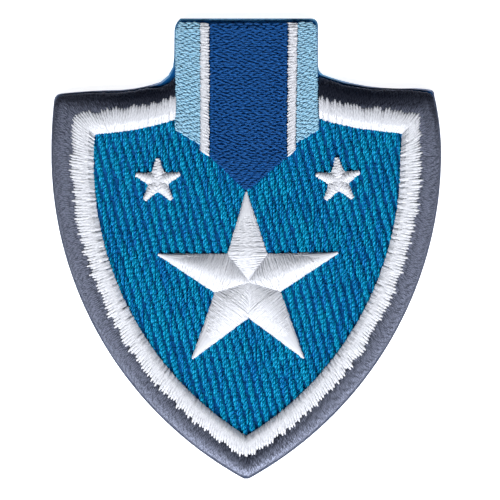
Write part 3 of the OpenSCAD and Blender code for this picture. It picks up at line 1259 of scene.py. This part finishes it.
# %% Give the cloth its materials
SMOOTH_UP_TO = math.radians(40)
RIM, FILM, GROUND = range(3)
for material in cloth_materials:
    cloth.data.materials.append(material)
for face in cloth.data.polygons:
    if face.normal.z < -LOOKS_UP:
        face.material_index = FILM
    elif face.normal.z > LOOKS_UP and face.center.z < BEAD_MIDDLE * MM:
        face.material_index = GROUND
    else:
        face.material_index = RIM
pick_out(cloth)
bpy.ops.object.shade_smooth_by_angle(angle=SMOOTH_UP_TO)
print("faces of rim:", sum(face.material_index == RIM for face in cloth.data.polygons))


# %% [markdown]
# ## The twill
# In this twill each warp yarn floats over three picks of the weft and dips under the fourth, and its
# neighbour does the same one pick lower. The floats lie side by side in ribs that lean by sixteen degrees,
# with a dark hole wherever a yarn dips. A material could draw the ribs, but from close by the yarns show
# as round. A float has the form of a stitch, so the same copies make it, and the picks are long straight
# copies under the floats. Spun yarn is softer and duller than sewing thread, and its twist is uneven.

# %% Material of the twill yarn
YARN_PITCH = 0.4
# The minus turns the yarn's twist the other way from the sewing thread's
YARN_PLIES = -2
YARN_GLOSS = 0.35
YARN_TINT = (0.3, 0.85, 0.95, 1)
YARN_BUMP = (1.0, 0.10)
TWIST_NOISE = 2200.0
TWIST_SLIP = 5.0
# The twist's share of the colour, which paints shade between the plies
PLY_SHADE_SHARE = 0.5
# Columns: dark and light colour, roughness and sheen
YARNS = {
    "warp_yarn": ((0.0, 0.10, 0.40), (0.0, 0.275, 0.50), 0.42, 0.20),
    # The weft is darker than the warp, partly painted shade where its picks show in the holes
    "weft_yarn": ((0.0, 0.057, 0.215), (0.0, 0.081, 0.285), 0.9, 0.0),
}


def yarn_material(name, dark, light, roughness, sheen):
    """Spun yarn with a soft twist, its colour painted darker between the plies as shade. The sheen is how
    much of its colour comes from its gloss.
    """
    material, shader = start_material(name, roughness, YARN_GLOSS)
    shader.inputs["Specular Tint"].default_value = YARN_TINT
    shader.inputs["Metallic"].default_value = sheen
    uneven = add_noise(material, object_place(material), TWIST_NOISE, detail=1.0)
    slip = calculate(material, "MULTIPLY", uneven, TWIST_SLIP)
    twist = add_twist(material, thread_place(material), YARN_PITCH, YARN_PLIES, **{"Phase Offset": slip})
    # The twist paints shade into the colour between the plies, on top of the bump's own shading.
    shade = calculate(material, "MULTIPLY_ADD", twist, PLY_SHADE_SHARE, thread_lot(material))
    join(material, mix_colours(material, shade, dark, light), shader, "Base Color")
    join(material, add_bump(material, twist, *YARN_BUMP), shader, "Normal")
    return material


warp_yarn, weft_yarn = (yarn_material(name, *looks) for name, looks in YARNS.items())
print("two yarns,", warp_yarn.name, "and", weft_yarn.name)

# %% Find the bare cloth
FIELD_SHARE = 0.3
OUTLINE_PARTS = 12
# Columns: half the width of the ribbon and the height above which it is that wide
RIBBON_HIDES = [(8.5, 16.0), (4.0, 12.0)]


def field_outline():
    """Edge of the bare cloth, taken a little way under the white border."""
    share = np.arange(OUTLINE_PARTS) / OUTLINE_PARTS
    inner, seam = (
        np.concatenate([along(line, row, share) for row in range(len(line) - 1)])
        for line in (INNER_LINE, SEAM_LINE)
    )
    return inner + (seam - inner) * FIELD_SHARE


def inside(points, outline):
    """Whether each point lies inside a closed outline."""
    x, y = points[:, None, 0], points[:, None, 1]
    x0, y0 = outline[None, :, 0], outline[None, :, 1]
    x1, y1 = np.roll(x0, -1, axis=1), np.roll(y0, -1, axis=1)
    crosses = (y0 > y) != (y1 > y)
    slope = (x1 - x0) / np.where(y1 == y0, 1, y1 - y0)
    return (crosses & (x < x0 + (y - y0) * slope)).sum(axis=1) % 2 == 1


def under_ribbon(points):
    """Whether each point is hidden by the ribbon."""
    return np.any([(abs(points[:, 0]) < half) & (points[:, 1] > low) for half, low in RIBBON_HIDES], axis=0)


outline = field_outline()
print("the bare cloth lies between y =", outline[:, 1].min().round(1), "and", outline[:, 1].max().round(1))

# %% Lay the floats
END_STEP = 0.2656
PICK_STEP = 0.8875
REPEAT = 4
WARP_ENDS = range(-76, 77)
FIRST_PICK = -24
LAST_PICK = 32
HOLE_TALL = 0.40
FLOAT_TOP = 1.00
FLOAT_LOW = 0.72
FLOAT_UNEVEN = 0.04
# How far a float strays across and along, and how far its start and its end lean sideways
FLOAT_STRAY = (0.035, 0.15)
FLOAT_LEAN = (-0.03, 0.05)
# How far the ribs wander sideways, and how quickly along X and along Y
WANDER = (0.10, 0.2, 0.35)


def lay_floats(seed):
    """The floats of the warp over the bare cloth."""
    chance = np.random.default_rng(seed)
    starts, ends = [], []
    for end_number in WARP_ENDS:
        for pick in range(FIRST_PICK + end_number % REPEAT, LAST_PICK, REPEAT):
            x = end_number * END_STEP
            hole = -pick * PICK_STEP
            starts.append((x, hole - HOLE_TALL / 2, FLOAT_LOW))
            ends.append((x, hole - REPEAT * PICK_STEP + HOLE_TALL / 2, FLOAT_LOW))
    start, end = np.array(starts), np.array(ends)
    shown = np.zeros(len(start), bool)
    for share in (0.0, 0.5, 1.0):
        at = (start + (end - start) * share)[:, :2]
        shown |= inside(at, outline) & ~under_ribbon(at)
    start, end = start[shown], end[shown]
    wave = WANDER[0] * np.sin(start[:, 1] * WANDER[2] + start[:, 0] * WANDER[1])
    jitter = chance.normal(0, FLOAT_STRAY[0], len(start)) + wave
    start[:, 0] += jitter + FLOAT_LEAN[0]
    end[:, 0] += jitter + FLOAT_LEAN[1]
    start[:, 1] += chance.normal(0, FLOAT_STRAY[1], len(start))
    end[:, 1] += chance.normal(0, FLOAT_STRAY[1], len(start))
    return sew(
        "twill_floats", start, end, warp_yarn, chance,
        top=FLOAT_TOP + chance.normal(0, FLOAT_UNEVEN, len(start)),
        power=2.0, ends=0.5, crest=0.58, width=0.30, thick=0.20,
    )


floats = lay_floats(seed=30)

# %% Lay the picks
PICK_Z = 0.73
PICK_PAST = 0.5
HALF_WIDE = 20
LOOK_EVERY = 0.25


def lay_picks(seed):
    """The picks of the weft from side to side of the bare cloth."""
    chance = np.random.default_rng(seed)
    starts, ends = [], []
    for number in range(FIRST_PICK + REPEAT, LAST_PICK):
        y = -number * PICK_STEP
        row = np.array([(x, y) for x in np.arange(-HALF_WIDE, HALF_WIDE, LOOK_EVERY)])
        row = row[inside(row, outline)]
        if len(row):
            starts.append((row[:, 0].min() - PICK_PAST, y, PICK_Z))
            ends.append((row[:, 0].max() + PICK_PAST, y, PICK_Z))
    return sew(
        "twill_picks", np.array(starts), np.array(ends), weft_yarn, chance,
        top=PICK_Z, power=8.0, ends=0.12, width=0.4, thick=0.16,
    )


picks = lay_picks(seed=31)

for piece in (floats, picks, cloth):
    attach(piece, "root")
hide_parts("ground_cloth")


# %% [markdown]
# ## The floor
# The floor stands for the scanner's white lid. A big white plane would turn grey under the slanted lamp,
# so it glows a little of itself, and the patch throws hardly any shadow on it.

# %% Lay the floor
FLOOR_SIZE = 1.2
FLOOR_DOWN = 0.02
FLOOR_GLOW = 0.92
deselect()
bpy.ops.mesh.primitive_plane_add(size=FLOOR_SIZE, location=(0, 0, -FLOOR_DOWN * MM))
floor = bpy.context.object
floor.name = "floor"
white_lid, lid_shader = start_material("white_lid", roughness=0.9, specular=0.1)
lid_shader.inputs["Base Color"].default_value = (0.86, 0.87, 0.88, 1)
lid_shader.inputs["Emission Color"].default_value = (1, 1, 1, 1)
lid_shader.inputs["Emission Strength"].default_value = FLOOR_GLOW
floor.data.materials.append(white_lid)
print("floor of", FLOOR_SIZE, "m")
